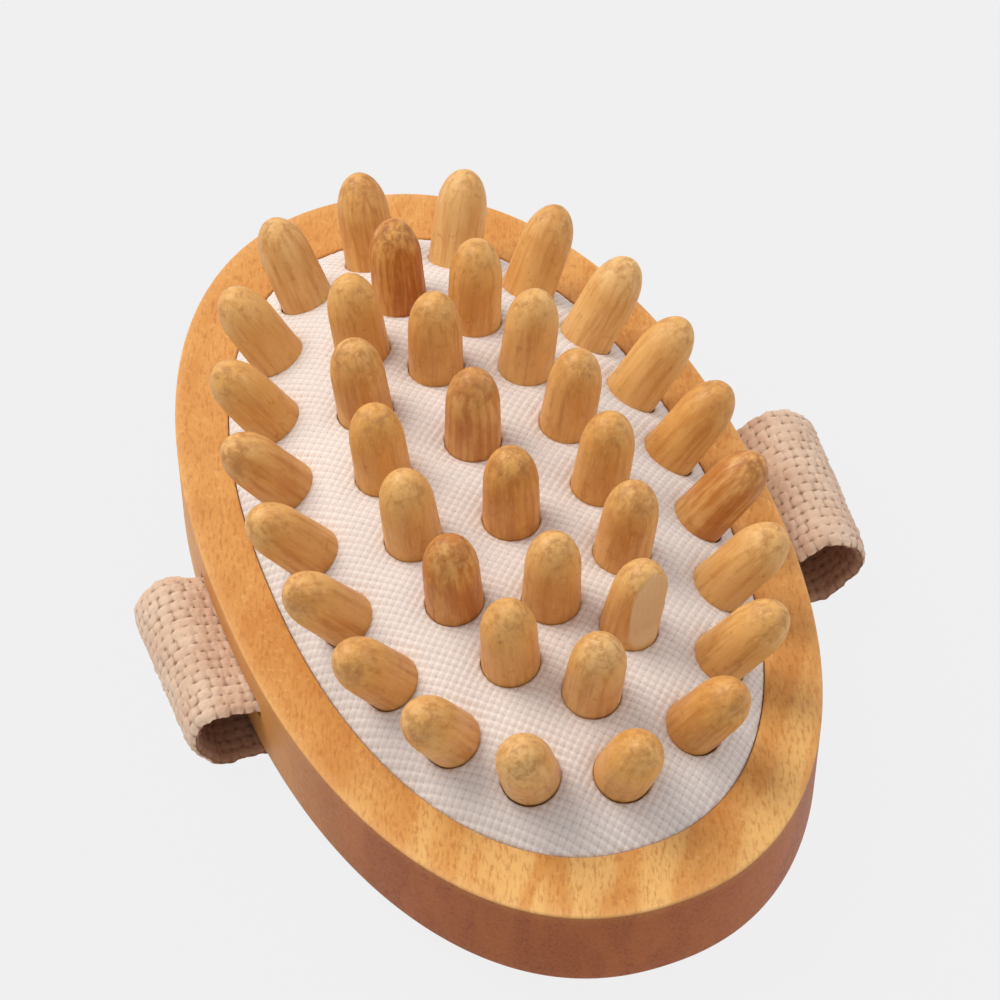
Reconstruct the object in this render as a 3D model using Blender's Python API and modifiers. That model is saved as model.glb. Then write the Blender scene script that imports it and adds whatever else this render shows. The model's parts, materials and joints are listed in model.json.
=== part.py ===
"""An oval wooden massage brush with an air cushion: a routed wooden body, a cloth-faced rubber cushion
held in a groove, turned wooden pegs standing through it, and a cotton hand strap let into the sides.

Metres, +Z up. X runs across the brush and Y along it. The origin is on the floor under the middle of
the body, which lies on its strap with the pegs pointing up.
"""

import math

import bmesh
import bpy
from mathutils import Matrix, Vector

MM = 0.001
GAP = 0.3 * MM

# Strap: one band of woven webbing, from the slot in one side, round a loop, under the back, and round
# another loop to the slot in the other side. It lies across the body a little askew, and its right loop
# stands the higher. A loop's top is the height of the webbing's middle there.
STRAP_WIDTH = 24.0 * MM
STRAP_THICKNESS = 2.0 * MM
STRAP_CENTRE_Y = -3.4 * MM
STRAP_TURN = math.radians(-1.7)
LOOP_CENTRE_X = 42.8 * MM
LOOP_REACH = 5.5 * MM
RIGHT_LOOP_TOP_Z = 12.9 * MM
LEFT_LOOP_TOP_Z = 12.0 * MM
LOOP_STEPS = 12

# Body: one block of wood with an oval outline.
BODY_LENGTH = 130.0 * MM
BODY_WIDTH = 76.0 * MM
BODY_HEIGHT = 14.6 * MM
BODY_EXPONENT = 2.21
BODY_EDGE = 0.7 * MM
BODY_STEPS = 96
BACK_Z = STRAP_THICKNESS + GAP
RIM_Z = BACK_Z + BODY_HEIGHT

# Pocket in its top, the groove that holds the cushion's lip, and the slots for the strap's ends.
POCKET_LENGTH = 111.6 * MM
POCKET_WIDTH = 62.0 * MM
POCKET_EXPONENT = 2.21
POCKET_STEPS = 72
POCKET_FLOOR_Z = BACK_Z + 3.5 * MM
GROOVE_TOP_Z = RIM_Z - 1.8 * MM
GROOVE_HEIGHT = 1.8 * MM
GROOVE_DEPTH = 2.2 * MM
SLOT_Z = BACK_Z + 8.2 * MM
SLOT_DEPTH = 5.0 * MM

# Cushion: a domed skin of rubber faced with cloth, with a lip that springs into the groove.
CUSHION_RISE = 9.75 * MM
CUSHION_FLATNESS = 3.95
CUSHION_THICKNESS = 1.2 * MM
CUSHION_RINGS = 9
CUSHION_STEPS = 60
LIP_REACH = 1.7 * MM

# Pegs: turned wooden bullets on two ovals and a row. Each stands square to the cushion. The whole
# pattern sits slightly to the right of the middle, and its outer oval slightly to the far end.
PEG_OUT = 13.2 * MM
PEG_BASE_RADIUS = 3.8 * MM
PEG_SHOULDER_RADIUS = 3.65 * MM
PEG_TIP_HEIGHT = 5.4 * MM
PEG_STEPS = 14
FOOT_RADIUS = 4.65 * MM
FOOT_DEPTH = 3.0 * MM
FOOT_THICKNESS = 1.2 * MM
PATTERN_X = 0.55 * MM
OUTER_PEGS = 20
OUTER_OVAL = (25.5 * MM, 48.0 * MM, 2.2)
OUTER_Y = 0.8 * MM
OUTER_SIDE_Y = -1.2 * MM
MIDDLE_PEGS = 14
MIDDLE_OVAL = (13.3 * MM, 36.4 * MM, 2.0)
MIDDLE_Y = 0.2 * MM
MIDDLE_SIDE_Y = 0.0
CENTRE_PEGS = 4
CENTRE_SPACING = 14.5 * MM

HONEY_WOOD = ((0.74, 0.40, 0.14), 0.45)
PEG_WOOD = ((0.62, 0.34, 0.12), 0.38)
WHITE_CLOTH = ((0.86, 0.82, 0.80), 0.9)
COTTON = ((0.76, 0.60, 0.46), 0.95)


def clear_scene():
    for old in list(bpy.data.objects):
        bpy.data.objects.remove(old, do_unlink=True)


def new_collection(name, hidden=False):
    collection = bpy.data.collections.new(name)
    bpy.context.scene.collection.children.link(collection)
    collection.hide_render = hidden
    return collection


def new_material(name, look):
    colour, roughness = look
    material = bpy.data.materials.new(name)
    material.use_nodes = True
    shader = material.node_tree.nodes["Principled BSDF"]
    shader.inputs["Base Color"].default_value = (*colour, 1.0)
    shader.inputs["Roughness"].default_value = roughness
    material.diffuse_color = (*colour, 1.0)
    return material


def add_object(name, data, collection, material=None):
    added = bpy.data.objects.new(name, data)
    collection.objects.link(added)
    if material:
        data.materials.append(material)
    return added


def make_cutter(cutter):
    cutter.hide_render = True
    cutter.display_type = "WIRE"
    return cutter


def oval_point(angle, half_width, half_length, exponent):
    """The point of a superellipse at this parameter, measured from the +Y end towards +X."""
    across, along = math.sin(angle), math.cos(angle)
    x = math.copysign(abs(across) ** (2 / exponent), across) * half_width
    y = math.copysign(abs(along) ** (2 / exponent), along) * half_length
    return Vector((x, y))


def spaced_on_oval(count, half_width, half_length, exponent, fine=2400):
    """Points at equal distances round a superellipse, the first of them at its +Y end."""
    ring = [oval_point(2 * math.pi * i / fine, half_width, half_length, exponent) for i in range(fine + 1)]
    travelled = [0.0]
    for before, after in zip(ring, ring[1:]):
        travelled.append(travelled[-1] + (after - before).length)
    wanted = [travelled[-1] * i / count for i in range(count)]
    return [ring[min(range(fine), key=lambda i: abs(travelled[i] - goal))] for goal in wanted]


def oval_curve(name, width, length, exponent, steps):
    """A filled flat oval as a closed 2D curve."""
    curve = bpy.data.curves.new(name, "CURVE")
    curve.dimensions = "2D"
    curve.fill_mode = "BOTH"
    spline = curve.splines.new("POLY")
    spline.points.add(steps - 1)
    spline.use_cyclic_u = True
    for point, place in zip(spline.points, spaced_on_oval(steps, width / 2, length / 2, exponent)):
        point.co = (place.x, place.y, 0, 1)
    return curve


def mesh_from_curve(name, curve, collection, material=None):
    """Turns a curve into a closed mesh object of the same name."""
    guide = add_object(name + "_curve", curve, collection)
    bpy.context.view_layer.update()
    evaluated = guide.evaluated_get(bpy.context.evaluated_depsgraph_get())
    mesh = bpy.data.meshes.new_from_object(evaluated)
    bpy.data.objects.remove(guide, do_unlink=True)
    shape = bmesh.new()
    shape.from_mesh(mesh)
    bmesh.ops.remove_doubles(shape, verts=shape.verts, dist=1e-6)
    bmesh.ops.recalc_face_normals(shape, faces=shape.faces)
    shape.to_mesh(mesh)
    shape.free()
    return add_object(name, mesh, collection, material)


def oval_block(name, size, exponent, steps, bottom, top, collection, material=None, edge=0.0):
    """An oval block between two heights, with its edges rounded by edge."""
    curve = oval_curve(name, size[0], size[1], exponent, steps)
    curve.extrude = (top - bottom) / 2 - edge
    curve.bevel_depth = edge
    curve.bevel_resolution = 1
    curve.offset = -edge
    block = mesh_from_curve(name, curve, collection, material)
    block.location.z = (top + bottom) / 2
    return block


def cut(target, cutter):
    boolean = target.modifiers.new("cut_" + cutter.name, "BOOLEAN")
    boolean.operation = "DIFFERENCE"
    boolean.solver = "EXACT"
    boolean.object = cutter


def add_box(name, size, collection):
    mesh = bpy.data.meshes.new(name)
    shape = bmesh.new()
    bmesh.ops.create_cube(shape, size=1.0, matrix=Matrix.Diagonal((*size, 1.0)))
    shape.to_mesh(mesh)
    shape.free()
    return add_object(name, mesh, collection)


def strap_frame():
    """The turned frame that the strap and its slots are laid out in."""
    return Matrix.Translation((0, STRAP_CENTRE_Y, 0)) @ Matrix.Rotation(STRAP_TURN, 4, "Z")


def build_body(parts, cutters):
    body = oval_block(
        "wooden_body", (BODY_WIDTH, BODY_LENGTH), BODY_EXPONENT, BODY_STEPS, BACK_Z, RIM_Z,
        parts, new_material("honey_wood", HONEY_WOOD), BODY_EDGE,
    )
    above = RIM_Z + 2 * MM
    pocket = oval_block(
        "pocket_cutter", (POCKET_WIDTH, POCKET_LENGTH), POCKET_EXPONENT, POCKET_STEPS,
        POCKET_FLOOR_Z, above, cutters,
    )
    groove_size = (POCKET_WIDTH + 2 * GROOVE_DEPTH, POCKET_LENGTH + 2 * GROOVE_DEPTH)
    groove = oval_block(
        "groove_cutter", groove_size, POCKET_EXPONENT, POCKET_STEPS,
        GROOVE_TOP_Z - GROOVE_HEIGHT, GROOVE_TOP_Z, cutters,
    )
    for cutter in (pocket, groove):
        cut(body, make_cutter(cutter))
    slot_size = (2 * SLOT_DEPTH, STRAP_WIDTH + 2 * GAP, STRAP_THICKNESS + 2 * GAP)
    for side, name in ((-1, "left"), (1, "right")):
        slot = make_cutter(add_box(f"{name}_slot_cutter", slot_size, cutters))
        slot.matrix_world = strap_frame() @ Matrix.Translation((side * BODY_WIDTH / 2, 0, SLOT_Z))
        cut(body, slot)
    return body


def cushion_height(share):
    """Height of the cushion's outer face at this share of the way from its crown to its edge."""
    return RIM_Z - GAP + CUSHION_RISE * (1 - min(share, 1.0) ** CUSHION_FLATNESS)


def cushion_share(x, y):
    half_width, half_length = POCKET_WIDTH / 2 - GAP, POCKET_LENGTH / 2 - GAP
    total = abs(x / half_width) ** POCKET_EXPONENT + abs(y / half_length) ** POCKET_EXPONENT
    return total ** (1 / POCKET_EXPONENT)


def cushion_normal(x, y, step=0.2 * MM):
    height = [
        cushion_height(cushion_share(x + dx, y + dy))
        for dx, dy in ((step, 0), (-step, 0), (0, step), (0, -step))
    ]
    return Vector((height[1] - height[0], height[3] - height[2], 2 * step)).normalized()


def cushion_rings():
    """(growth beyond the edge, share of the edge, height) of each ring, from the crown to the lip."""
    shares = [math.sin(math.pi / 2 * i / CUSHION_RINGS) for i in range(1, CUSHION_RINGS + 1)]
    rings = [(0.0, share, cushion_height(share)) for share in shares]
    lip_top = GROOVE_TOP_Z - GAP
    return rings + [(0.0, 1.0, lip_top), (LIP_REACH, 1.0, lip_top)]


def cushion_surface():
    """The outer face: a half sphere's rings moved onto the dome, then down the wall and out as a lip."""
    rings = cushion_rings()
    shape = bmesh.new()
    bmesh.ops.create_uvsphere(
        shape, u_segments=CUSHION_STEPS, v_segments=2 * len(rings), radius=1.0
    )
    below = [vertex for vertex in shape.verts if vertex.co.z < -1e-4]
    bmesh.ops.delete(shape, geom=below, context="VERTS")
    for vertex in shape.verts:
        ring = round(math.atan2(vertex.co.xy.length, vertex.co.z) / (math.pi / 2) * len(rings))
        if ring == 0:
            vertex.co = (0, 0, cushion_height(0))
            continue
        growth, share, height = rings[ring - 1]
        half_width = (POCKET_WIDTH / 2 - GAP) * share + growth
        half_length = (POCKET_LENGTH / 2 - GAP) * share + growth
        angle = math.atan2(vertex.co.x, vertex.co.y)
        place = oval_point(angle, half_width, half_length, POCKET_EXPONENT)
        vertex.co = (place.x, place.y, height)
    return shape


def peg_places():
    """(name, x, y) of every peg: an outer and a middle oval, and a row down the centre."""
    places = []
    ovals = (
        ("outer", OUTER_PEGS, OUTER_OVAL, OUTER_Y, OUTER_SIDE_Y),
        ("middle", MIDDLE_PEGS, MIDDLE_OVAL, MIDDLE_Y, MIDDLE_SIDE_Y),
    )
    for label, count, oval, centre_y, side_y in ovals:
        for number, place in enumerate(spaced_on_oval(count, *oval), 1):
            y = centre_y + place.y + side_y * (1 - (place.y / oval[1]) ** 2)
            places.append((f"peg_{label}_{number:02d}", PATTERN_X + place.x, y))
    for number in range(1, CENTRE_PEGS + 1):
        y = ((CENTRE_PEGS + 1) / 2 - number) * CENTRE_SPACING
        places.append((f"peg_centre_{number:02d}", PATTERN_X, y))
    return places


def peg_matrix(x, y):
    """The peg's own frame: on the cushion's face, with Z pointing squarely out of it."""
    place = Vector((x, y, cushion_height(cushion_share(x, y))))
    turn = Vector((0, 0, 1)).rotation_difference(cushion_normal(x, y))
    return Matrix.Translation(place) @ turn.to_matrix().to_4x4()


def build_cushion(parts, cutters):
    mesh = bpy.data.meshes.new("cushion")
    shape = cushion_surface()
    shape.to_mesh(mesh)
    shape.free()
    cushion = add_object("cushion", mesh, parts, new_material("white_cloth", WHITE_CLOTH))
    skin = cushion.modifiers.new("skin", "SOLIDIFY")
    skin.thickness = CUSHION_THICKNESS
    skin.offset = -1
    skin.use_even_offset = True
    holes = bmesh.new()
    for _, x, y in peg_places():
        bmesh.ops.create_cone(
            holes, cap_ends=True, segments=PEG_STEPS, radius1=PEG_BASE_RADIUS + GAP,
            radius2=PEG_BASE_RADIUS + GAP, depth=12 * MM, matrix=peg_matrix(x, y),
        )
    mesh = bpy.data.meshes.new("hole_cutter")
    holes.to_mesh(mesh)
    holes.free()
    cut(cushion, make_cutter(add_object("hole_cutter", mesh, cutters)))
    return cushion


def peg_profile():
    """(radius, height) down the peg's outer side, from the tip to the middle of its foot."""
    shoulder = PEG_OUT - PEG_TIP_HEIGHT
    profile = []
    for degrees in (90, 62, 36, 15):
        angle = math.radians(degrees)
        radius = PEG_SHOULDER_RADIUS * math.cos(angle) ** 0.85 if degrees < 90 else 0.0
        profile.append((radius, shoulder + PEG_TIP_HEIGHT * math.sin(angle)))
    profile += [(PEG_SHOULDER_RADIUS, shoulder - 0.5 * MM), (PEG_BASE_RADIUS, 0.5 * MM)]
    profile += [(PEG_BASE_RADIUS, -FOOT_DEPTH), (FOOT_RADIUS, -FOOT_DEPTH)]
    profile += [(FOOT_RADIUS, -FOOT_DEPTH - FOOT_THICKNESS), (0.0, -FOOT_DEPTH - FOOT_THICKNESS)]
    return profile


def build_pegs(parts):
    mesh = bpy.data.meshes.new("peg_profile")
    profile = peg_profile()
    points = [(radius, 0, height) for radius, height in profile]
    mesh.from_pydata(points, [(i, i + 1) for i in range(len(points) - 1)], [])
    wood = new_material("peg_wood", PEG_WOOD)
    mesh.materials.append(wood)
    for name, x, y in peg_places():
        peg = add_object(name, mesh, parts)
        peg.matrix_world = peg_matrix(x, y)
        turned = peg.modifiers.new("turned", "SCREW")
        turned.axis = "Z"
        turned.steps = turned.render_steps = PEG_STEPS
        turned.use_merge_vertices = True
        turned.merge_threshold = 1e-5
        turned.use_smooth_shade = True


def strap_loop(top_z):
    """(x, z) along the middle of the webbing, from its end in a slot, round a loop, to under the back."""
    middle_z = (top_z + STRAP_THICKNESS / 2) / 2
    inside = BODY_WIDTH / 2 - SLOT_DEPTH + 2 * GAP
    path = [(inside, SLOT_Z), (BODY_WIDTH / 2, SLOT_Z)]
    for i in range(LOOP_STEPS + 1):
        place = oval_point(math.pi * i / LOOP_STEPS, LOOP_REACH, top_z - middle_z, 2.3)
        path.append((LOOP_CENTRE_X + place.x, middle_z + place.y))
    return path


def build_strap(parts):
    curve = bpy.data.curves.new("hand_strap", "CURVE")
    curve.dimensions = "2D"
    curve.fill_mode = "NONE"
    curve.extrude = STRAP_WIDTH / 2
    right, left = strap_loop(RIGHT_LOOP_TOP_Z), strap_loop(LEFT_LOOP_TOP_Z)
    path = right + [(-x, z) for x, z in reversed(left)]
    spline = curve.splines.new("POLY")
    spline.points.add(len(path) - 1)
    for point, (x, z) in zip(spline.points, path):
        point.co = (x, z, 0, 1)
    strap = mesh_from_curve("hand_strap", curve, parts, new_material("cotton_webbing", COTTON))
    strap.matrix_world = strap_frame() @ Matrix.Rotation(math.pi / 2, 4, "X")
    band = strap.modifiers.new("band", "SOLIDIFY")
    band.thickness = STRAP_THICKNESS
    band.offset = 0
    band.use_even_offset = True


def main():
    clear_scene()
    parts = new_collection("massage_brush")
    cutters = new_collection("cutters", hidden=True)
    build_body(parts, cutters)
    build_cushion(parts, cutters)
    build_pegs(parts)
    build_strap(parts)


main()
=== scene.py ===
"""Looks of an oval wooden massage brush with an air cushion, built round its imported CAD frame.

A routed body of honey-coloured wood holds a domed cushion faced with white woven cloth. Turned wooden
pegs stand through the cloth on two ovals and a row, and a loop of coarse cotton webbing makes the hand strap.
Metres, +Z up. X runs across the brush and Y along it.
"""

import json
import math

import bmesh
import bpy
import numpy as np
from mathutils import Matrix, Vector
from mathutils.bvhtree import BVHTree
from mathutils.geometry import delaunay_2d_cdt


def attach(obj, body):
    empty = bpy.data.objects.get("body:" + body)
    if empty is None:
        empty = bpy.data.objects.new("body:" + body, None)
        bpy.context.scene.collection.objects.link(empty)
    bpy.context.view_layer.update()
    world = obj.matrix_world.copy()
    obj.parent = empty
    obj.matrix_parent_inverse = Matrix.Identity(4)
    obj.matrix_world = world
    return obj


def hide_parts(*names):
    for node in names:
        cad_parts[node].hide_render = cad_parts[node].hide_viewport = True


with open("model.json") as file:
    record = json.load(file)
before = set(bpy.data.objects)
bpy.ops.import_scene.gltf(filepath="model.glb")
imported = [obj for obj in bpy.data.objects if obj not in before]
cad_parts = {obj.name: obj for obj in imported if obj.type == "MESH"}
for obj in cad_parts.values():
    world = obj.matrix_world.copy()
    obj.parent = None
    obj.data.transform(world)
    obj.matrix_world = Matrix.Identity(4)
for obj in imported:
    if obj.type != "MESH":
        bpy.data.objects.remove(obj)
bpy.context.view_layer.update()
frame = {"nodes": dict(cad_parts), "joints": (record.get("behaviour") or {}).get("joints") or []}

MM = 0.001
TAU = 2 * math.pi
random = np.random.default_rng(38)

# Body: an oval block with a pocket, the groove under the pocket's edge and a slot in each side.
BODY_HALF = (38.0 * MM, 65.0 * MM)
OVAL_EXPONENT = 2.21
BACK_Z = 2.3 * MM
RIM_Z = 16.9 * MM
BODY_EDGE = 0.34 * MM
BACK_EDGE = 0.9 * MM
BODY_STEPS = 384
POCKET_HALF = (31.0 * MM, 55.8 * MM)
POCKET_EDGE = 0.3 * MM
POCKET_FLOOR_Z = 5.8 * MM
GROOVE_TOP_Z = 15.1 * MM
GROOVE_HEIGHT = 1.8 * MM
GROOVE_DEPTH = 2.2 * MM
SLOT_Z = 10.5 * MM
SLOT_DEPTH = 5.0 * MM
SLOT_HEIGHT = 2.6 * MM
SLOT_CLEARANCE = 0.6 * MM
# Where the outer wall begins, as a share of the way out, and where painted shade on its near end fades in
# towards -Y.
WALL_SHARES = (0.978, 0.990)
NEAR_WALL_SHADE_SHARES = (-0.05, 0.75)

# Cushion: a domed skin with a woven face, pressed out by air between the pegs.
CUSHION_GAP = 0.12 * MM
CUSHION_EDGE_Z = 16.6 * MM
CUSHION_RISE = 9.75 * MM
CUSHION_FLATNESS = 3.95
CUSHION_THICKNESS = 1.2 * MM
OUTLINE_STEPS = 480
HOLE_STEPS = 48
HOLE_RADIUS = 3.88 * MM
HOLE_DIP = 0.30 * MM
HOLE_DIP_WIDTH = 1.0 * MM
THREAD_PITCH = (0.69 * MM, 0.67 * MM)
THREAD_SAMPLES = (3, 2)
THREAD_MARGIN = 0.16 * MM
WEAVE_RELIEF = 0.13 * MM
WEAVE_FADE = 0.4 * MM
UNDERSIDE_SPACING = 2.4 * MM
UNDERSIDE_MARGIN = 0.9 * MM
# Puff: how a plain skin, pinned at its edge and round the pegs, fills with air between them.
# The skin is made larger by PUFF_SCALE for the simulation, because cloth settings suit metre-wide pieces.
PUFF_SPACING = 1.7 * MM
PUFF_MARGIN = 0.5 * MM
PUFF_SCALE = 40.0
PUFF_PRESSURE = 4.5
PUFF_FRAMES = 14
PUFF_LIMIT = 0.75 * MM
PUFF_OUTLINE_STEP = 4
PUFF_HOLE_STEP = 3
PUFF_CLOTH = {
    "quality": 4, "mass": 0.4, "tension_stiffness": 12, "compression_stiffness": 4,
    "bending_stiffness": 0.4, "air_damping": 4,
}

# Pegs: turned wooden bullets with a collar under the cloth.
PEG_OUT = 13.2 * MM
PEG_BASE_RADIUS = 3.80 * MM
PEG_SHOULDER_RADIUS = 3.65 * MM
PEG_TIP_HEIGHT = 6.2 * MM
PEG_FOOT_RADIUS = 4.65 * MM
PEG_FOOT_DEPTH = 3.0 * MM
PEG_FOOT_THICKNESS = 1.2 * MM
PEG_STEPS = 56
PEG_LEAN = 0.10 * MM
PEG_TIP_SHARES = (0.72, 0.93)
# How far a peg's own stain has gone, for those that stand out, and the one with a pale chipped side.
STAINED_PEGS = {
    "peg_middle_01": 0.9, "peg_middle_10": 0.7, "peg_outer_07": 0.7, "peg_centre_02": 0.5,
    "peg_outer_01": 0.4, "peg_centre_03": 0.4, "peg_outer_06": 0.25,
}
PALE_PEGS = ("peg_outer_02", "peg_outer_04", "peg_outer_20", "peg_outer_12", "peg_middle_08")
CHIPPED_PEG = "peg_middle_07"
CHIP_DIRECTION = math.radians(-72.0)
CHIP_DEPTH = 2.75 * MM

# Strap: one band of webbing through both slots and under the back.
STRAP_WIDTH = 24.0 * MM
STRAP_THICKNESS = 2.0 * MM
STRAP_CENTRE_Y = -3.4 * MM
STRAP_TURN = math.radians(-1.7)
STRAP_STEPS = 500
STRAP_SMOOTHINGS = 24
YARN_ROWS = 16
YARN_SAMPLES = 5
STRAP_COLUMNS = YARN_ROWS * YARN_SAMPLES + 1
YARN_LENGTH = 1.6 * MM
YARN_RELIEF = 0.40 * MM
FUZZ = 0.055 * MM
# Waves in the yarns' run and in the band's frayed edges: (size, rate along the band, start). A yarn's
# start is multiplied by its row.
YARN_WAVES = ((0.20, 311, 1.7), (0.12, 877, 4.1))
FRAY_WAVES = ((0.09 * MM, 2300, 0.0), (0.14 * MM, 917, 1.3), (0.06 * MM, 4100, 0.0))
# Each side's loop opens like a cone: (reach, height at its top) at its near edge, then at its far edge.
LOOP_CENTRE_X = 42.8 * MM
LOOP_STEPS = 90
LOOP_EXPONENT = 2.0
LOOP_LEAN = 0.28
RIGHT_LOOP = ((6.2 * MM, 12.9 * MM), (7.6 * MM, 14.6 * MM))
LEFT_LOOP = ((3.3 * MM, 11.6 * MM), (4.7 * MM, 12.6 * MM))

# View: the camera looks down at the brush from its near left.
CAMERA_AIM = Vector((7.3, 14.9, 2.3)) * MM
CAMERA_AZIMUTH = -20.6
CAMERA_ELEVATION = 50.0
CAMERA_DISTANCE = 493.0 * MM
CAMERA_LENS = 125.9
ROOM_LEVELS = (0.15, 0.80)
ROOM_ELEVATION = 60
FLOOR_HALF = 6.0


# ---------------------------------------------------------------------------------------------- helpers


def smooth_step(low, high, value):
    """0 below low, 1 above high, and a soft step between them."""
    share = np.clip((value - low) / (high - low), 0.0, 1.0)
    return share * share * (3 - 2 * share)


def oval(angles, half_width, half_length, exponent=OVAL_EXPONENT):
    """Points of a superellipse, from the +Y end towards +X, as rows of x and y."""
    across, along = np.sin(angles), np.cos(angles)
    x = np.sign(across) * np.abs(across) ** (2 / exponent) * half_width
    y = np.sign(along) * np.abs(along) ** (2 / exponent) * half_length
    return np.stack([x, y], axis=-1)


def travelled_along(path):
    """Each point's distance from the start of a path."""
    return np.concatenate([[0], np.cumsum(np.linalg.norm(np.diff(path, axis=0), axis=1))])


def resampled(path, wanted):
    """Points at the wanted distances along a flat path."""
    travelled = travelled_along(path)
    return np.stack([np.interp(wanted, travelled, path[:, k]) for k in range(2)], axis=-1)


def even_oval(count, half_width, half_length, fine=6000):
    """Equally spaced points round a superellipse."""
    ring = oval(np.linspace(0, TAU, fine + 1), half_width, half_length)
    return resampled(ring, travelled_along(ring)[-1] * np.arange(count) / count)


def moved(points, place):
    """Rows of points, moved by a 4 by 4 matrix."""
    return points @ np.array(place.to_3x3()).T + np.array(place.translation)


def mesh_piece(name, points, faces, material=None):
    """A smooth-shaded mesh object from numpy points and a list of face index arrays."""
    mesh = bpy.data.meshes.new(name)
    mesh.from_pydata(np.asarray(points, float).tolist(), [], faces)
    mesh.update()
    mesh.shade_smooth()
    piece = bpy.data.objects.new(name, mesh)
    bpy.context.scene.collection.objects.link(piece)
    if material:
        mesh.materials.append(material)
    return piece


def face_outwards(piece):
    """Turns every face of a closed piece outwards."""
    shape = bmesh.new()
    shape.from_mesh(piece.data)
    bmesh.ops.recalc_face_normals(shape, faces=shape.faces)
    shape.to_mesh(piece.data)
    shape.free()
    piece.data.shade_smooth()


def point_attribute(piece, name, values):
    """Stores one number, or one vector, for each vertex."""
    values = np.asarray(values, np.float32)
    kind = "FLOAT_VECTOR" if values.ndim == 2 else "FLOAT"
    stored = piece.data.attributes.new(name, kind, "POINT")
    stored.data.foreach_set("vector" if values.ndim == 2 else "value", values.ravel())


def vertices_of(piece):
    """A piece's vertices as rows of x, y and z."""
    points = np.empty(len(piece.data.vertices) * 3)
    piece.data.vertices.foreach_get("co", points)
    return points.reshape(-1, 3)


def loop_edges(loops):
    """Pairs of point numbers round several closed loops, whose points follow one another."""
    edges, start = [], 0
    for loop in loops:
        step = np.arange(len(loop))
        edges.append(np.column_stack([start + step, start + (step + 1) % len(loop)]))
        start += len(loop)
    return np.concatenate(edges)


def grid_faces(rows, columns, wrap=False):
    """Quads between rows of points. With wrap, the last column joins the first."""
    step = np.arange(columns if wrap else columns - 1)
    first = (np.arange(rows - 1)[:, None] * columns + step).ravel()
    after = (np.arange(rows - 1)[:, None] * columns + (step + 1) % columns).ravel()
    return np.stack([first, after, after + columns, first + columns], axis=-1).tolist()


def arc(centre, radius, start, end, steps):
    """Points of a rounded edge in a profile, as (inset, height), from one angle to another in degrees."""
    angles = np.radians(np.linspace(start, end, steps))
    return [(centre[0] + radius * math.cos(a), centre[1] + radius * math.sin(a)) for a in angles]


# -------------------------------------------------------------------------------------------- materials


class Shading:
    """A material's node tree, with short ways to add nodes and to mix what they give."""

    def __init__(self, name):
        self.material = bpy.data.materials.new(name)
        self.material.use_nodes = True
        self.tree = self.material.node_tree
        self.shader = self.tree.nodes["Principled BSDF"]

    def add(self, kind, inputs=None, **settings):
        node = self.tree.nodes.new("ShaderNode" + kind)
        for key, value in settings.items():
            setattr(node, key, value)
        for key, value in (inputs or {}).items():
            self.feed(node.inputs[key], value)
        return node

    def feed(self, socket, value):
        if isinstance(value, bpy.types.NodeSocket):
            self.tree.links.new(value, socket)
        else:
            socket.default_value = value

    def position(self):
        return self.add("TexCoord").outputs["Object"]

    def attribute(self, name, vector=False):
        return self.add("Attribute", attribute_name=name).outputs["Vector" if vector else "Fac"]

    def placed(self, vector, scale, turn=0.0):
        """The vector turned about Z and scaled, so that a texture stretches along its own axes."""
        turned = self.add("VectorRotate", {"Vector": vector, "Angle": turn}, rotation_type="Z_AXIS")
        scaled = self.add("VectorMath", {0: turned.outputs[0], 1: scale}, operation="MULTIPLY")
        return scaled.outputs[0]

    def noise(self, vector, scale=1.0, detail=3.0, roughness=0.5, distortion=0.0):
        inputs = {"Vector": vector, "Scale": scale, "Detail": detail}
        inputs.update({"Roughness": roughness, "Distortion": distortion})
        return self.add("TexNoise", inputs).outputs["Fac"]

    def math(self, operation, first, second=0.0):
        return self.add("Math", {0: first, 1: second}, operation=operation).outputs[0]

    def ramp(self, value, low, high, to_low=0.0, to_high=1.0):
        inputs = {"Value": value, "From Min": low, "From Max": high, "To Min": to_low, "To Max": to_high}
        return self.add("MapRange", inputs, interpolation_type="SMOOTHSTEP").outputs["Result"]

    def mix(self, factor, first, second):
        node = self.add("Mix", {"Factor": factor}, data_type="RGBA")
        self.feed(node.inputs[6], first)
        self.feed(node.inputs[7], second)
        return node.outputs[2]

    def bump(self, height, strength, distance, normal=None):
        inputs = {"Height": height, "Strength": strength, "Distance": distance}
        if normal:
            inputs["Normal"] = normal
        return self.add("Bump", inputs).outputs["Normal"]

    def finish(self, **inputs):
        """Sets or links the shader's own inputs, and gives the finished material."""
        for key, value in inputs.items():
            self.feed(self.shader.inputs[key.replace("_", " ")], value)
        return self.material


def colour(red, green, blue):
    """A linear colour from the 0 to 255 values it has on a screen."""
    levels = [channel / 255 for channel in (red, green, blue)]
    return (*[((v + 0.055) / 1.055) ** 2.4 if v > 0.04045 else v / 12.92 for v in levels], 1.0)


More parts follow.
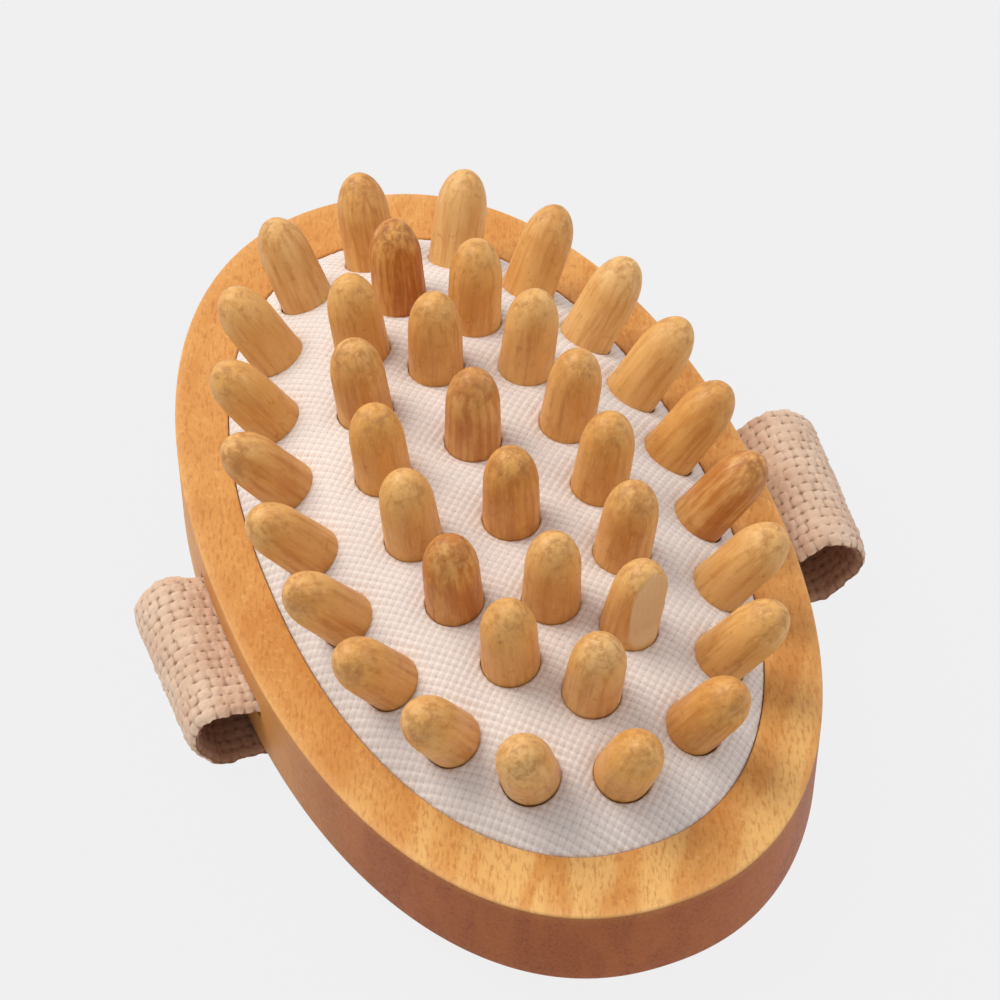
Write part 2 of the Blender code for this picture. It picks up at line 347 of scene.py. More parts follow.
def honey_wood():
    """Oiled beech: honey-coloured, with short flecks, faint pores and slanting bands of figure, with painted
    shade on its wall's near end and a painted highlight along the rim's outer edge.
    """
    s = Shading("honey_wood")
    place = s.position()
    cloud = s.noise(place, 70, 3, 0.6)
    fibre = s.noise(s.placed(place, (2300, 620, 2300), 0.35), 1.0, 3, 0.65)
    fleck = s.noise(s.placed(place, (1700, 900, 1100), -0.6), 1.0, 2, 0.6)
    figure = s.noise(s.placed(place, (210, 34, 60), 0.55), 1.0, 2, 0.45, 0.5)
    near_end = s.ramp(s.add("SeparateXYZ", {0: place}).outputs[1], -0.030, -0.048)
    tone = s.mix(s.ramp(cloud, 0.35, 0.65), colour(214, 152, 80), colour(205, 139, 69))
    strength = s.math("ADD", s.math("MULTIPLY", near_end, 0.6), 0.2)
    band = s.math("MULTIPLY", s.ramp(figure, 0.42, 0.60), strength)
    tone = s.mix(band, tone, colour(232, 184, 112))
    tone = s.mix(s.ramp(fibre, 0.46, 0.68, 0.0, 0.55), tone, colour(178, 106, 46))
    tone = s.mix(s.ramp(fleck, 0.52, 0.80, 0.0, 0.35), tone, colour(238, 190, 118))
    side = s.mix(s.ramp(cloud, 0.35, 0.65), colour(219, 158, 88), colour(208, 143, 76))
    side = s.mix(s.ramp(fibre, 0.45, 0.75, 0.0, 0.25), side, colour(180, 112, 56))
    # Painted shade: the wall turns darker and redder towards its near, -Y end, the side turned from the key
    # light.
    end = s.mix(s.ramp(fibre, 0.40, 0.75), colour(163, 86, 33), colour(138, 63, 20))
    end = s.mix(s.ramp(figure, 0.40, 0.65, 0.0, 0.35), end, colour(188, 106, 46))
    side = s.mix(s.attribute("end"), side, end)
    tone = s.mix(s.attribute("wall"), tone, side)
    # Painted highlight: a lighter line along the rounded edge between the wall and the rim.
    edge = s.attribute("edge")
    tone = s.mix(s.math("MULTIPLY", edge, 0.35), tone, colour(240, 190, 125))
    roughness = s.ramp(fleck, 0.3, 0.8, 0.46, 0.58)
    relief = s.bump(fibre, 0.20, 0.00022)
    relief = s.bump(fleck, 0.14, 0.00025, relief)
    return s.finish(Base_Color=tone, Roughness=roughness, Normal=relief, Specular_IOR_Level=0.24)


def peg_wood():
    """Turned pegs: grain along each peg, mottled end grain on its tip and its own tone and stains."""
    s = Shading("peg_wood")
    grain = s.attribute("grain", vector=True)
    tip = s.attribute("tip")
    tone_share = s.attribute("tone")
    stain_share = s.attribute("stain")
    streak = s.noise(s.placed(grain, (1100, 1100, 90)), 1.0, 3, 0.6)
    fine = s.noise(s.placed(grain, (3600, 3600, 420)), 1.0, 2, 0.6)
    cloud = s.noise(s.placed(grain, (210, 210, 120)), 1.0, 3, 0.6)
    mottle = s.noise(grain, 720, 3, 0.65, 0.4)
    tone = s.mix(tone_share, colour(230, 184, 118), colour(224, 166, 88))
    tone = s.mix(s.ramp(cloud, 0.40, 0.66, 0.0, 0.45), tone, colour(212, 149, 70))
    tone = s.mix(s.ramp(streak, 0.44, 0.70, 0.0, 0.45), tone, colour(190, 124, 56))
    tone = s.mix(s.ramp(mottle, 0.56, 0.72, 0.0, 0.30), tone, colour(158, 96, 40))
    tone = s.mix(s.ramp(fine, 0.50, 0.75, 0.0, 0.35), tone, colour(238, 200, 130))
    soaked = s.math("MULTIPLY", s.math("ADD", cloud, streak), 0.5)
    blotch = s.math("MULTIPLY", s.ramp(soaked, 0.38, 0.58, 0.20, 1.0), stain_share)
    tone = s.mix(blotch, tone, colour(176, 98, 30))
    crown = s.math("MULTIPLY", tip, s.ramp(mottle, 0.42, 0.66, 0.0, 0.60))
    tone = s.mix(crown, tone, s.mix(stain_share, colour(184, 128, 70), colour(140, 84, 36)))
    tone = s.mix(s.attribute("bare"), tone, s.mix(fine, colour(214, 172, 118), colour(232, 196, 146)))
    roughness = s.ramp(mottle, 0.3, 0.7, 0.42, 0.56)
    relief = s.bump(streak, 0.12, 0.0003)
    relief = s.bump(fine, 0.15, 0.00012, relief)
    relief = s.bump(s.math("MULTIPLY", mottle, tip), 0.30, 0.0003, relief)
    return s.finish(Base_Color=tone, Roughness=roughness, Normal=relief, Specular_IOR_Level=0.36)


def white_cloth():
    """Plain-woven white cloth: its threads, with painted shade as a grey pit wherever one dives under another
    and along the grooves between threads.
    """
    s = Shading("white_cloth")
    place = s.position()
    threads = s.add("SeparateXYZ", {0: s.attribute("threads", vector=True)}).outputs
    turns = [s.math("MULTIPLY", threads[k], math.pi) for k in range(2)]
    over = s.math("MULTIPLY", *[s.math("COSINE", turn) for turn in turns])
    doubled = [s.math("COSINE", s.math("MULTIPLY", turn, 2.0)) for turn in turns]
    # Painted shade along the grooves between neighbouring threads.
    seam_shade = s.ramp(s.math("ADD", *doubled), -0.2, -1.9)
    twist = s.noise(s.placed(place, (5200, 2600, 5200)), 1.0, 2, 0.6)
    lint = s.noise(place, 2100, 3, 0.7)
    cloud = s.noise(place, 90, 2)
    # Painted shade in the pits where one thread dives under another.
    pit_shade = s.math("MULTIPLY", s.ramp(over, -0.15, -0.95), s.ramp(lint, 0.30, 0.66, 0.15, 1.0))
    tone = s.mix(s.ramp(cloud, 0.35, 0.65), colour(236, 228, 221), colour(229, 221, 215))
    tone = s.mix(s.ramp(twist, 0.5, 0.8, 0.0, 0.22), tone, colour(206, 194, 186))
    tone = s.mix(s.math("MULTIPLY", seam_shade, 0.28), tone, colour(176, 160, 150))
    tone = s.mix(s.math("MULTIPLY", pit_shade, 0.50), tone, colour(166, 148, 138))
    relief = s.bump(over, 0.45, 0.00012)
    relief = s.bump(twist, 0.35, 0.00012, relief)
    return s.finish(
        Base_Color=tone, Roughness=0.9, Normal=relief, Specular_IOR_Level=0.18,
        Sheen_Weight=0.12, Sheen_Roughness=0.5,
    )


def cotton_webbing():
    """Unbleached cotton: spun yarns with their twist and fuzz, with painted shade in the pits of the weave
    and over the band's inner face.
    """
    s = Shading("cotton_webbing")
    weave = s.attribute("weave", vector=True)
    pit_shade = s.attribute("pit_shade")
    twist = s.noise(s.placed(weave, (5200, 1500, 2200), 0.5), 1.0, 3, 0.65)
    fuzz = s.noise(weave, 6200, 2, 0.7)
    cloud = s.noise(weave, 160, 2)
    tone = s.mix(s.ramp(cloud, 0.35, 0.65), colour(226, 197, 171), colour(217, 184, 157))
    tone = s.mix(s.ramp(twist, 0.48, 0.74, 0.0, 0.40), tone, colour(194, 154, 124))
    # Painted shade in the pits between the yarns.
    tone = s.mix(s.ramp(pit_shade, 0.32, 0.95, 0.0, 0.85), tone, colour(122, 80, 56))
    # Painted shade over the band's inner face, inside the loops and under the back.
    tone = s.mix(s.math("MULTIPLY", s.attribute("inner_shade"), 0.75), tone, colour(150, 104, 76))
    relief = s.bump(twist, 0.50, 0.00020)
    relief = s.bump(fuzz, 0.35, 0.00010, relief)
    return s.finish(
        Base_Color=tone, Roughness=0.95, Normal=relief, Specular_IOR_Level=0.1,
        Sheen_Weight=0.2, Sheen_Roughness=0.5,
    )


# ----------------------------------------------------------------------------------------- wooden body


def body_profile():
    """(inset from the outer oval, height) up the outer side and round its edge onto the rim."""
    profile = [(BACK_EDGE, BACK_Z)]
    profile += arc((BACK_EDGE, BACK_Z + BACK_EDGE), BACK_EDGE, 270, 180, 6)[1:]
    for height in np.linspace(BACK_Z + BACK_EDGE, RIM_Z - BODY_EDGE, 9)[1:-1]:
        profile.append((0.0, height))
    profile += arc((BODY_EDGE, RIM_Z - BODY_EDGE), BODY_EDGE, 180, 90, 6)
    return profile


def pocket_profile():
    """(growth beyond the pocket's oval, height) from the pocket's rounded edge down to its floor."""
    profile = arc((POCKET_EDGE, RIM_Z - POCKET_EDGE), POCKET_EDGE, 90, 180, 4)
    profile += [(0.0, GROOVE_TOP_Z), (GROOVE_DEPTH, GROOVE_TOP_Z)]
    profile += [(GROOVE_DEPTH, GROOVE_TOP_Z - GROOVE_HEIGHT), (0.0, GROOVE_TOP_Z - GROOVE_HEIGHT)]
    profile += [(0.0, POCKET_FLOOR_Z)]
    return profile


def body_rings():
    """Half-axes and height of every ring of the body, from its back's edge to the pocket's floor."""
    rings = [(BODY_HALF[0] - inset, BODY_HALF[1] - inset, height) for inset, height in body_profile()]
    pocket = pocket_profile()
    first = (POCKET_HALF[0] + pocket[0][0], POCKET_HALF[1] + pocket[0][0])
    last = rings[-1]
    for share in (0.2, 0.4, 0.6, 0.8):
        half_axes = [last[k] + (first[k] - last[k]) * share for k in range(2)]
        rings.append((*half_axes, RIM_Z))
    rings += [(POCKET_HALF[0] + growth, POCKET_HALF[1] + growth, height) for growth, height in pocket]
    return rings


def strap_frame():
    """The turned frame that the strap and its slots are laid out in."""
    return Matrix.Translation((0, STRAP_CENTRE_Y, 0)) @ Matrix.Rotation(STRAP_TURN, 4, "Z")


def cut_slots(body):
    """Cuts the strap's slots into the two sides."""
    shape = bmesh.new()
    size = Matrix.Diagonal((2 * SLOT_DEPTH, STRAP_WIDTH + SLOT_CLEARANCE, SLOT_HEIGHT, 1.0))
    for side in (-1, 1):
        place = strap_frame() @ Matrix.Translation((side * BODY_HALF[0], 0, SLOT_Z)) @ size
        bmesh.ops.create_cube(shape, size=1.0, matrix=place)
    mesh = bpy.data.meshes.new("slot_cutter")
    shape.to_mesh(mesh)
    shape.free()
    cutter = bpy.data.objects.new("slot_cutter", mesh)
    bpy.context.scene.collection.objects.link(cutter)
    boolean = body.modifiers.new("slots", "BOOLEAN")
    boolean.operation = "DIFFERENCE"
    boolean.solver = "EXACT"
    boolean.object = cutter
    bpy.context.view_layer.update()
    graph = bpy.context.evaluated_depsgraph_get()
    body.data = bpy.data.meshes.new_from_object(body.evaluated_get(graph))
    body.modifiers.clear()
    bpy.data.objects.remove(cutter, do_unlink=True)


def build_body():
    """The routed block: an outer wall, a flat rim, the pocket with its groove, and a slot in each side."""
    rings = body_rings()
    angles = np.linspace(0, TAU, BODY_STEPS, endpoint=False)
    rows = []
    for half_width, half_length, height in rings:
        places = oval(angles, half_width, half_length)
        rows.append(np.column_stack([places, np.full(BODY_STEPS, height)]))
    faces = grid_faces(len(rings), BODY_STEPS, wrap=True)
    count = len(rings) * BODY_STEPS
    faces.append(list(range(BODY_STEPS)))
    faces.append(list(range(count - BODY_STEPS, count)))
    body = mesh_piece("brush_body", np.concatenate(rows), faces, honey_wood())
    face_outwards(body)
    cut_slots(body)
    body.data.set_sharp_from_angle(angle=math.radians(32))
    mark_body(body)
    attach(body, "brush")
    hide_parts("wooden_body")


def mark_body(body):
    """Marks the outer wall, the painted shade on its near end, and the rounded edge between it and the rim,
    which gets a painted highlight.
    """
    points = vertices_of(body)
    share = np.sum(np.abs(points[:, :2] / BODY_HALF) ** OVAL_EXPONENT, axis=1) ** (1 / OVAL_EXPONENT)
    outer = smooth_step(*WALL_SHARES, share)
    below = 1 - smooth_step(RIM_Z - BODY_EDGE * 1.1, RIM_Z - BODY_EDGE * 0.5, points[:, 2])
    point_attribute(body, "wall", outer * below)
    # Where the painted shade on the wall's near end fades in, towards -Y.
    point_attribute(body, "end", smooth_step(*NEAR_WALL_SHADE_SHARES, -points[:, 1] / BODY_HALF[1]))
    # Where the painted highlight along the rim's rounded outer edge goes.
    near_edge = 1 - np.abs(points[:, 2] - (RIM_Z - BODY_EDGE * 0.35)) / (BODY_EDGE * 0.8)
    point_attribute(body, "edge", outer * np.clip(near_edge, 0, 1))


# -------------------------------------------------------------------------------------------------- pegs


def peg_frames():
    """Each peg body's frame: on the cushion's face, with Z out along the peg, from its node and joint."""
    frames = {}
    for joint in frame["joints"]:
        out = -Vector(joint["axis"]).normalized()
        node = joint["child"]
        points = vertices_of(frame["nodes"][node])
        tip = Vector(points[np.argmax(points @ np.array(out))])
        turn = Vector((0, 0, 1)).rotation_difference(out)
        frames[node] = Matrix.Translation(tip - out * PEG_OUT) @ turn.to_matrix().to_4x4()
    return frames


def peg_profile(bluntness):
    """(radius, height) from the tip down to the underside of the collar."""
    shoulder = PEG_OUT - PEG_TIP_HEIGHT
    profile = []
    for degrees in (90, 84, 78, 71, 64, 56, 48, 40, 32, 24, 16, 8, 0):
        angle = math.radians(degrees)
        radius = PEG_SHOULDER_RADIUS * max(math.cos(angle), 0.0) ** bluntness
        profile.append((0.0 if degrees == 90 else radius, shoulder + PEG_TIP_HEIGHT * math.sin(angle)))
    for height in np.linspace(shoulder, 0.0, 12)[1:]:
        share = (shoulder - height) / shoulder
        radius = PEG_SHOULDER_RADIUS + (PEG_BASE_RADIUS - PEG_SHOULDER_RADIUS) * share
        profile.append((radius, height))
    collar = [(PEG_BASE_RADIUS, -PEG_FOOT_DEPTH), (PEG_FOOT_RADIUS, -PEG_FOOT_DEPTH)]
    collar.append((PEG_FOOT_RADIUS, -PEG_FOOT_DEPTH - PEG_FOOT_THICKNESS))
    return profile + collar


def build_peg(name, place, material):
    """One peg, with its own bluntness, slight unevenness from the lathe, tone and stain."""
    profile = np.array(peg_profile(random.uniform(0.88, 1.08)))
    angles = np.linspace(0, TAU, PEG_STEPS, endpoint=False)
    phase = random.uniform(0, TAU, 3)
    lean = random.normal(0, PEG_LEAN, 2)
    rows = []
    for radius, height in profile[1:]:
        out_of_round = 1 + 0.006 * np.cos(2 * angles + phase[0]) + 0.004 * np.cos(3 * angles + phase[1])
        out_of_round += 0.004 * math.sin(height / PEG_OUT * 9 + phase[2])
        above = max(height, 0.0) / PEG_OUT
        x = radius * out_of_round * np.cos(angles) + lean[0] * above
        y = radius * out_of_round * np.sin(angles) + lean[1] * above
        rows.append(np.column_stack([x, y, np.full(PEG_STEPS, height)]))
    rings = len(rows)
    local = np.concatenate([*rows, [[lean[0], lean[1], profile[0][1]]], [[0, 0, profile[-1][1]]]])
    faces = grid_faces(rings, PEG_STEPS, wrap=True)
    top, bottom, last = rings * PEG_STEPS, rings * PEG_STEPS + 1, (rings - 1) * PEG_STEPS
    for i in range(PEG_STEPS):
        after = (i + 1) % PEG_STEPS
        faces.append([top, after, i])
        faces.append([bottom, last + i, last + after])
    stain = STAINED_PEGS.get(name, random.uniform(0.0, 0.55) ** 2)
    tone = 0.0 if name in PALE_PEGS else random.uniform(0.3, 1.0)
    bare = chip(local) if name == CHIPPED_PEG else np.zeros(len(local))
    peg = mesh_piece(name + "_turned", moved(local, place), faces, material)
    face_outwards(peg)
    peg.data.set_sharp_from_angle(angle=math.radians(50))
    point_attribute(peg, "grain", local + random.uniform(-1, 1, 3))
    point_attribute(peg, "tip", smooth_step(*PEG_TIP_SHARES, local[:, 2] / PEG_OUT))
    point_attribute(peg, "tone", np.full(len(local), tone))
    point_attribute(peg, "stain", np.full(len(local), stain))
    point_attribute(peg, "bare", bare)
    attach(peg, name)
    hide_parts(name)


def chip(local):
    """Flattens one side of a peg above the cloth, and gives where its bare wood shows."""
    outward = np.array([math.cos(CHIP_DIRECTION), math.sin(CHIP_DIRECTION), 0.10])
    over = np.maximum(local @ outward - CHIP_DEPTH, 0) * smooth_step(0, 2 * MM, local[:, 2])
    local -= over[:, None] * outward
    return smooth_step(0.03 * MM, 0.16 * MM, over)


def build_pegs(frames):
    """Every peg, all in one material that reads each peg's own attributes."""
    material = peg_wood()
    for name, place in frames.items():
        build_peg(name, place, material)


# ----------------------------------------------------------------------------------------------- cushion


def cushion_share(places):
    """How far each place is from the middle of the cushion, 1 at its edge."""
    half = np.array(POCKET_HALF) - CUSHION_GAP
    return np.sum(np.abs(places / half) ** OVAL_EXPONENT, axis=1) ** (1 / OVAL_EXPONENT)


def dome_height(places):
    """Height of the plain dome at each place."""
    share = np.minimum(cushion_share(places), 1.0)
    return CUSHION_EDGE_Z + CUSHION_RISE * (1 - share ** CUSHION_FLATNESS)


def hole_rings(frames, radius, steps):
    """For each peg, the ring round it in the cloth as rows of x and y."""
    angles = np.linspace(0, TAU, steps, endpoint=False)
    rings = []
    for place in frames.values():
        circle = np.column_stack([radius * np.cos(angles), radius * np.sin(angles), np.zeros(steps)])
        ring = moved(circle, place)
        out = np.array(place.to_3x3().col[2])
        drop = (dome_height(ring[:, :2]) - ring[:, 2]) / out[2]
        rings.append((ring + drop[:, None] * out)[:, :2])
    return rings


def peg_distance(places, frames):
    """Each place's distance from the nearest peg's axis, at the height of the dome."""
    points = np.column_stack([places, dome_height(places)])
    nearest = np.full(len(places), np.inf)
    for place in frames.values():
        out = np.array(place.to_3x3().col[2])
        offset = points - np.array(place.translation)
        along = offset @ out
        nearest = np.minimum(nearest, np.sqrt(np.maximum((offset**2).sum(1) - along**2, 0)))
    return nearest


def grid_places(axes, margin, frames):
    """Grid points laid along two axes, inside the cushion and clear of the peg holes."""
    counts = np.ceil(math.hypot(*POCKET_HALF) * np.linalg.norm(axes, axis=1)).astype(int)
    steps = np.meshgrid(*[np.arange(-count, count + 1) for count in counts])
    places = np.stack([step.ravel() for step in steps], axis=-1) @ np.linalg.inv(axes).T
    places = places[cushion_share(places) < 1 - margin / POCKET_HALF[0]]
    return places[peg_distance(places, frames) > HOLE_RADIUS + margin]


def triangulated(places, outline, rings):
    """Triangles over the whole cushion, with the outline and the rings as their first points."""
    points = np.concatenate([outline, *rings, places])
    edges = loop_edges((outline, *rings)).tolist()
    made = delaunay_2d_cdt([Vector(p) for p in points], edges, [], 0, 1e-9)
    return points, np.array(made[2])


def pinned_skin(outline, rings, frames):
    """A plain skin over the dome as a cloth object, held along its edge and round the peg holes."""
    grid = grid_places(np.eye(2) / PUFF_SPACING, PUFF_MARGIN, frames)
    places, faces = open_faces(grid, outline, rings, frames)
    points = np.column_stack([places, dome_height(places)]) * PUFF_SCALE
    skin = mesh_piece("air_skin", points, faces.tolist())
    face_outwards(skin)
    held = skin.vertex_groups.new(name="held")
    held.add(list(range(len(outline) + sum(len(ring) for ring in rings))), 1.0, "REPLACE")
    return skin, faces


def puffed(outline, rings, frames):
    """The skin as air pressure leaves it after a short cloth simulation, for looking up its height."""
    skin, faces = pinned_skin(outline, rings, frames)
    cloth = skin.modifiers.new("air", "CLOTH")
    for name, value in PUFF_CLOTH.items():
        setattr(cloth.settings, name, value)
    cloth.settings.vertex_group_mass = "held"
    cloth.settings.use_pressure = True
    cloth.settings.uniform_pressure_force = PUFF_PRESSURE
    cloth.settings.effector_weights.gravity = 0.0
    cloth.collision_settings.use_collision = False
    cloth.point_cache.frame_start = 1
    cloth.point_cache.frame_end = PUFF_FRAMES
    for now in range(1, PUFF_FRAMES + 1):
        bpy.context.scene.frame_set(now)
    graph = bpy.context.evaluated_depsgraph_get()
    points = [vertex.co / PUFF_SCALE for vertex in skin.evaluated_get(graph).data.vertices]
    bpy.data.objects.remove(skin)
    bpy.context.scene.frame_set(1)
    return BVHTree.FromPolygons(points, faces.tolist())


def air_rise(places, skin):
    """How far above the plain dome the puffed skin stands at each place."""
    dome = dome_height(places)
    hits = [skin.ray_cast(Vector((x, y, 1.0)), Vector((0, 0, -1)))[0] for x, y in places]
    heights = np.array([dome[k] if hit is None else hit.z for k, hit in enumerate(hits)])
    return np.clip(heights - dome, -PUFF_LIMIT, PUFF_LIMIT)


def build_cushion(frames):
    """The domed skin: a woven face, a plain underside, and a hole for each peg."""
    outline = even_oval(OUTLINE_STEPS, POCKET_HALF[0] - CUSHION_GAP, POCKET_HALF[1] - CUSHION_GAP)
    rings = hole_rings(frames, HOLE_RADIUS, HOLE_STEPS)
    grid = grid_places(np.diag(np.array(THREAD_SAMPLES) / THREAD_PITCH), THREAD_MARGIN, frames)
    top_points, top_faces = open_faces(grid, outline, rings, frames)
    grid = grid_places(np.eye(2) / UNDERSIDE_SPACING, UNDERSIDE_MARGIN, frames)
    low_points, low_faces = open_faces(grid, outline, rings, frames)
    top, threads = woven_surface(top_points, frames)
    pins = [ring[::PUFF_HOLE_STEP] for ring in rings]
    top[:, 2] += air_rise(top_points, puffed(outline[::PUFF_OUTLINE_STEP], pins, frames))
    low = np.column_stack([low_points, dome_height(low_points) - CUSHION_THICKNESS])
    points = np.concatenate([top, low])
    faces = top_faces.tolist() + (low_faces[:, ::-1] + len(top)).tolist()
    edges = loop_edges((outline, *rings))
    faces += np.column_stack([edges, edges[:, ::-1] + len(top)]).tolist()
    cushion = mesh_piece("cushion_skin", points, faces, white_cloth())
    face_outwards(cushion)
    point_attribute(cushion, "threads", np.concatenate([threads, np.full((len(low), 3), 0.5)]))
    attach(cushion, "brush")
    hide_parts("cushion")


def open_faces(places, outline, rings, frames):
    """The cushion's triangles without those over the holes or outside the outline."""
    points, faces = triangulated(places, outline, rings)
    middle = points[faces].mean(axis=1)
    keep = (cushion_share(middle) < 1) & (peg_distance(middle, frames) > HOLE_RADIUS * 0.995)
    return points, faces[keep]


def woven_surface(places, frames):
    """The cloth's points, with its plain weave and drawn down round the pegs, and its thread counts."""
    wander = np.sin(places[:, ::-1] * 310) * 0.10 + np.sin(places * 190 + 1.7) * 0.12
    threads = places / THREAD_PITCH + wander
    over = np.cos(math.pi * threads[:, 0]) * np.cos(math.pi * threads[:, 1])
    near = peg_distance(places, frames) - HOLE_RADIUS
    fade = smooth_step(0, WEAVE_FADE, near)
    dip = HOLE_DIP * np.exp(-np.maximum(near, 0) / HOLE_DIP_WIDTH)
    height = dome_height(places) + WEAVE_RELIEF * np.minimum(over, 0.3) * fade - dip
    return np.column_stack([places, height]), np.column_stack([threads, np.zeros(len(threads))])


# ------------------------------------------------------------------------------------------------- strap


def loop_path(reach, top_z):
    """(x, z) along the middle of the webbing, from inside a slot round a loop to under the back."""
    middle_z = (top_z + STRAP_THICKNESS / 2) / 2
    inside = BODY_HALF[0] - SLOT_DEPTH + SLOT_CLEARANCE
    loop = oval(np.linspace(0, math.pi, LOOP_STEPS), reach, top_z - middle_z, LOOP_EXPONENT)
    loop[:, 0] += LOOP_LEAN * np.clip(loop[:, 1], None, 0) * smooth_step(-0.5, 1.0, loop[:, 0] / reach)
    loop += (LOOP_CENTRE_X, middle_z)
    return np.concatenate([[(inside, SLOT_Z), (BODY_HALF[0], SLOT_Z)], loop])


def strap_path(edge):
    """Equally spaced (x, z) along one edge of the webbing, from slot to slot, and the length along it."""
    path = np.concatenate([loop_path(*RIGHT_LOOP[edge]), loop_path(*LEFT_LOOP[edge])[::-1] * (-1, 1)])
    wanted = np.linspace(0, travelled_along(path)[-1], STRAP_STEPS)
    even = resampled(path, wanted)
    for _ in range(STRAP_SMOOTHINGS):
        even[1:-1] = (even[:-2] + 2 * even[1:-1] + even[2:]) / 4
    return even, wanted


def yarn_relief(across, along, side, variety):
    """Height of the plain weave on one side of the band, from 0 in its pits to 1 on its fullest yarns."""
    row = (across / STRAP_WIDTH + 0.5) * YARN_ROWS
    index = np.clip(np.floor(row), 0, YARN_ROWS - 1).astype(int)
    wander = sum(size * np.sin(along * rate + index * start) for size, rate, start in YARN_WAVES)
    step = along / YARN_LENGTH + wander + index % 2 * 0.5 + (0.25 if side > 0 else 0.75)
    bump = np.floor(step).astype(int)
    fullness = variety[index, bump % variety.shape[1]]
    beside = np.abs(2 * (row - index) - 1) ** 3.0
    ends = np.abs(2 * (step - bump) - 1) ** (2.5 + 3 * fullness)
    gaps = 0.36 * beside + 0.52 * ends + 0.34 * beside * ends
    return (0.66 + 0.34 * fullness) * np.clip(1 - gaps, 0, 1)


def band_middle():
    """The band's middle and the way out of it, as rows of (x, z) over its grid, and the band's length."""
    paths, lengths = zip(*[strap_path(edge) for edge in (0, 1)])
    share = np.linspace(0, 1, STRAP_COLUMNS)[None, :, None]
    middle = paths[0][:, None] * (1 - share) + paths[1][:, None] * share
    tangent = np.gradient(middle, axis=0)
    tangent /= np.linalg.norm(tangent, axis=2)[:, :, None]
    outward = np.stack([-tangent[:, :, 1], tangent[:, :, 0]], axis=-1)
    return middle.reshape(-1, 2), outward.reshape(-1, 2), (lengths[0][-1] + lengths[1][-1]) / 2


def build_strap():
    """The band: both faces of the webbing as one grid, raised yarn by yarn, with frayed edges."""
    middle, outward, length = band_middle()
    steps, shares = np.linspace(0, length, STRAP_STEPS), np.linspace(0, 1, STRAP_COLUMNS) - 0.5
    along, across = [values.ravel() for values in np.meshgrid(steps, shares, indexing="ij")]
    across = across * STRAP_WIDTH
    edge = np.abs(across) / (STRAP_WIDTH / 2)
    frayed = sum(size * np.sin(along * rate + start) for size, rate, start in FRAY_WAVES)
    y = across + np.sign(across) * frayed * smooth_step(0.90, 1.0, edge)
    selvage = np.sqrt(np.maximum(1 - edge**12, 0.0))
    variety = random.uniform(0, 1, (YARN_ROWS, 61))
    sides, pit_shades = [], []
    for side in (1, -1):
        relief = yarn_relief(across, along, side, variety)
        half = (STRAP_THICKNESS / 2 - YARN_RELIEF * (1 - relief)) * selvage
        half = half + random.normal(0, FUZZ, len(half)) * smooth_step(0.0, 0.5, selvage)
        place = middle + side * half[:, None] * outward
        sides.append(np.column_stack([place[:, 0], y, place[:, 1]]))
        pit_shades.append(1 - relief)
    faces = np.array(grid_faces(STRAP_STEPS, STRAP_COLUMNS))
    both = faces.tolist() + (faces[:, ::-1] + len(along)).tolist()
    every = both + border_faces(STRAP_STEPS, STRAP_COLUMNS)
    points = moved(np.concatenate(sides), strap_frame())
    strap = mesh_piece("webbing_strap", points, every, cotton_webbing())
    face_outwards(strap)
    # Masks for the painted shade: the weave's pits, and the band's inner face.
    point_attribute(strap, "pit_shade", np.concatenate(pit_shades))
    point_attribute(strap, "inner_shade", np.repeat([0.0, 1.0], len(along)))
    flat = np.column_stack([across, along, np.zeros(len(along))])
    point_attribute(strap, "weave", np.concatenate([flat, flat + (0, 0, 0.3)]))
    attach(strap, "brush")
    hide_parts("hand_strap")


def border_faces(rows, columns):
    """Quads that close the band round its four edges, between its two sides."""
    top = np.arange(rows * columns).reshape(rows, columns)
    border = np.concatenate([top[0, :-1], top[:-1, -1], top[-1, :0:-1], top[:0:-1, 0]])
    after = np.roll(border, -1)
    other = rows * columns
    return np.column_stack([border, border + other, after + other, after]).tolist()


# --------------------------------------------------------------------------------------------- the scene


def direction(azimuth, elevation):
    """From the object towards a place seen at this azimuth and elevation, in degrees."""
    a, e = math.radians(azimuth), math.radians(elevation)
    return Vector((math.sin(a) * math.cos(e), -math.cos(a) * math.cos(e), math.sin(e)))


def soft_light(name, azimuth, elevation, distance, size, power, tint):
    """A round area light that faces the origin."""
    light = bpy.data.lights.new(name, "AREA")
    light.shape = "DISK"
    light.size = size
    light.energy = power
    light.color = tint
    lamp = bpy.data.objects.new(name, light)
    bpy.context.scene.collection.objects.link(lamp)
    towards = direction(azimuth, elevation)
    lamp.location = towards * distance
    lamp.rotation_mode = "QUATERNION"
    lamp.rotation_quaternion = towards.to_track_quat("Z", "Y")


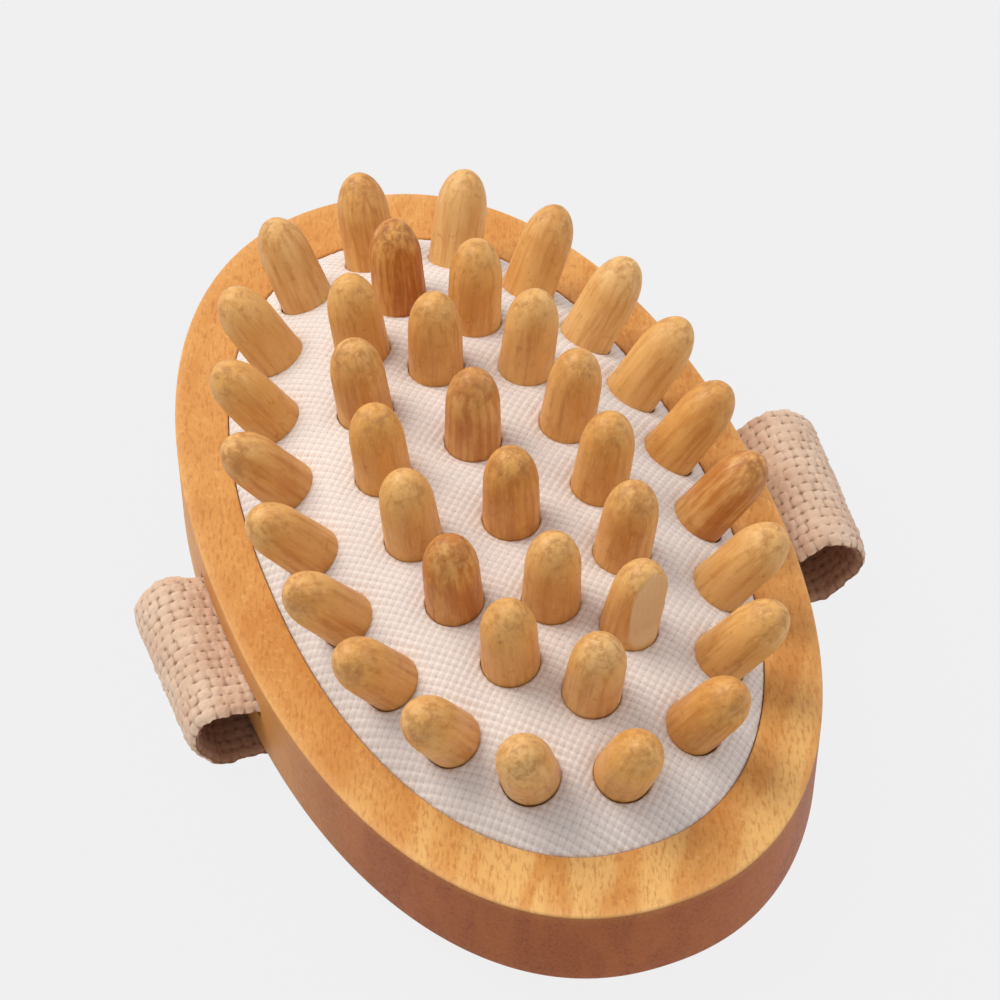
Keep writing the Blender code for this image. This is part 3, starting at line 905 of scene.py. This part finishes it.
def build_stage():
    """A pale floor that stays even, as on a light table, and a pale room."""
    s = Shading("stage_paper")
    s.finish(Base_Color=(0.02, 0.02, 0.02, 1.0), Roughness=1.0, Specular_IOR_Level=0.0)
    s.finish(Emission_Color=(0.846, 0.846, 0.848, 1.0), Emission_Strength=1.0)
    corners = [(x * FLOOR_HALF, y * FLOOR_HALF, 0) for x, y in ((-1, -1), (1, -1), (1, 1), (-1, 1))]
    floor = mesh_piece("floor", corners, [[0, 1, 2, 3]], s.material)
    build_room()


def build_room():
    """A pale room, brightest overhead and away from the camera."""
    world = bpy.data.worlds.new("room")
    bpy.context.scene.world = world
    world.use_nodes = True
    tree = world.node_tree
    place = tree.nodes.new("ShaderNodeTexCoord")
    facing = tree.nodes.new("ShaderNodeVectorMath")
    facing.operation = "DOT_PRODUCT"
    facing.inputs[1].default_value = direction(CAMERA_AZIMUTH + 180, ROOM_ELEVATION)
    level = tree.nodes.new("ShaderNodeMapRange")
    level.inputs["From Min"].default_value = -1.0
    level.inputs["To Min"].default_value = ROOM_LEVELS[0]
    level.inputs["To Max"].default_value = ROOM_LEVELS[1]
    tree.links.new(place.outputs["Generated"], facing.inputs[0])
    tree.links.new(facing.outputs["Value"], level.inputs["Value"])
    tree.links.new(level.outputs["Result"], tree.nodes["Background"].inputs["Strength"])
    tree.nodes["Background"].inputs["Color"].default_value = (0.94, 0.95, 1.0, 1.0)


def build_lights():
    """A warm key light from the far left, and a weak fill from the near right."""
    soft_light("key", azimuth=222, elevation=55, distance=0.9, size=0.60, power=5.6, tint=(1.0, 0.95, 0.88))
    soft_light("fill", azimuth=70, elevation=35, distance=0.9, size=0.70, power=1.2, tint=(1.0, 0.97, 0.94))


def build_camera():
    """The photograph's view, on a long lens."""
    camera = bpy.data.objects.new("camera", bpy.data.cameras.new("camera"))
    bpy.context.scene.collection.objects.link(camera)
    camera.data.sensor_width = 36.0
    camera.data.lens = CAMERA_LENS
    camera.data.clip_start = 0.01
    towards = direction(CAMERA_AZIMUTH, CAMERA_ELEVATION)
    camera.location = CAMERA_AIM + towards * CAMERA_DISTANCE
    camera.rotation_mode = "QUATERNION"
    camera.rotation_quaternion = towards.to_track_quat("Z", "Y")
    bpy.context.scene.camera = camera
    bpy.context.scene.view_settings.view_transform = "Standard"


def main():
    frames = peg_frames()
    build_body()
    build_cushion(frames)
    build_pegs(frames)
    build_strap()
    build_stage()
    build_lights()
    build_camera()


main()
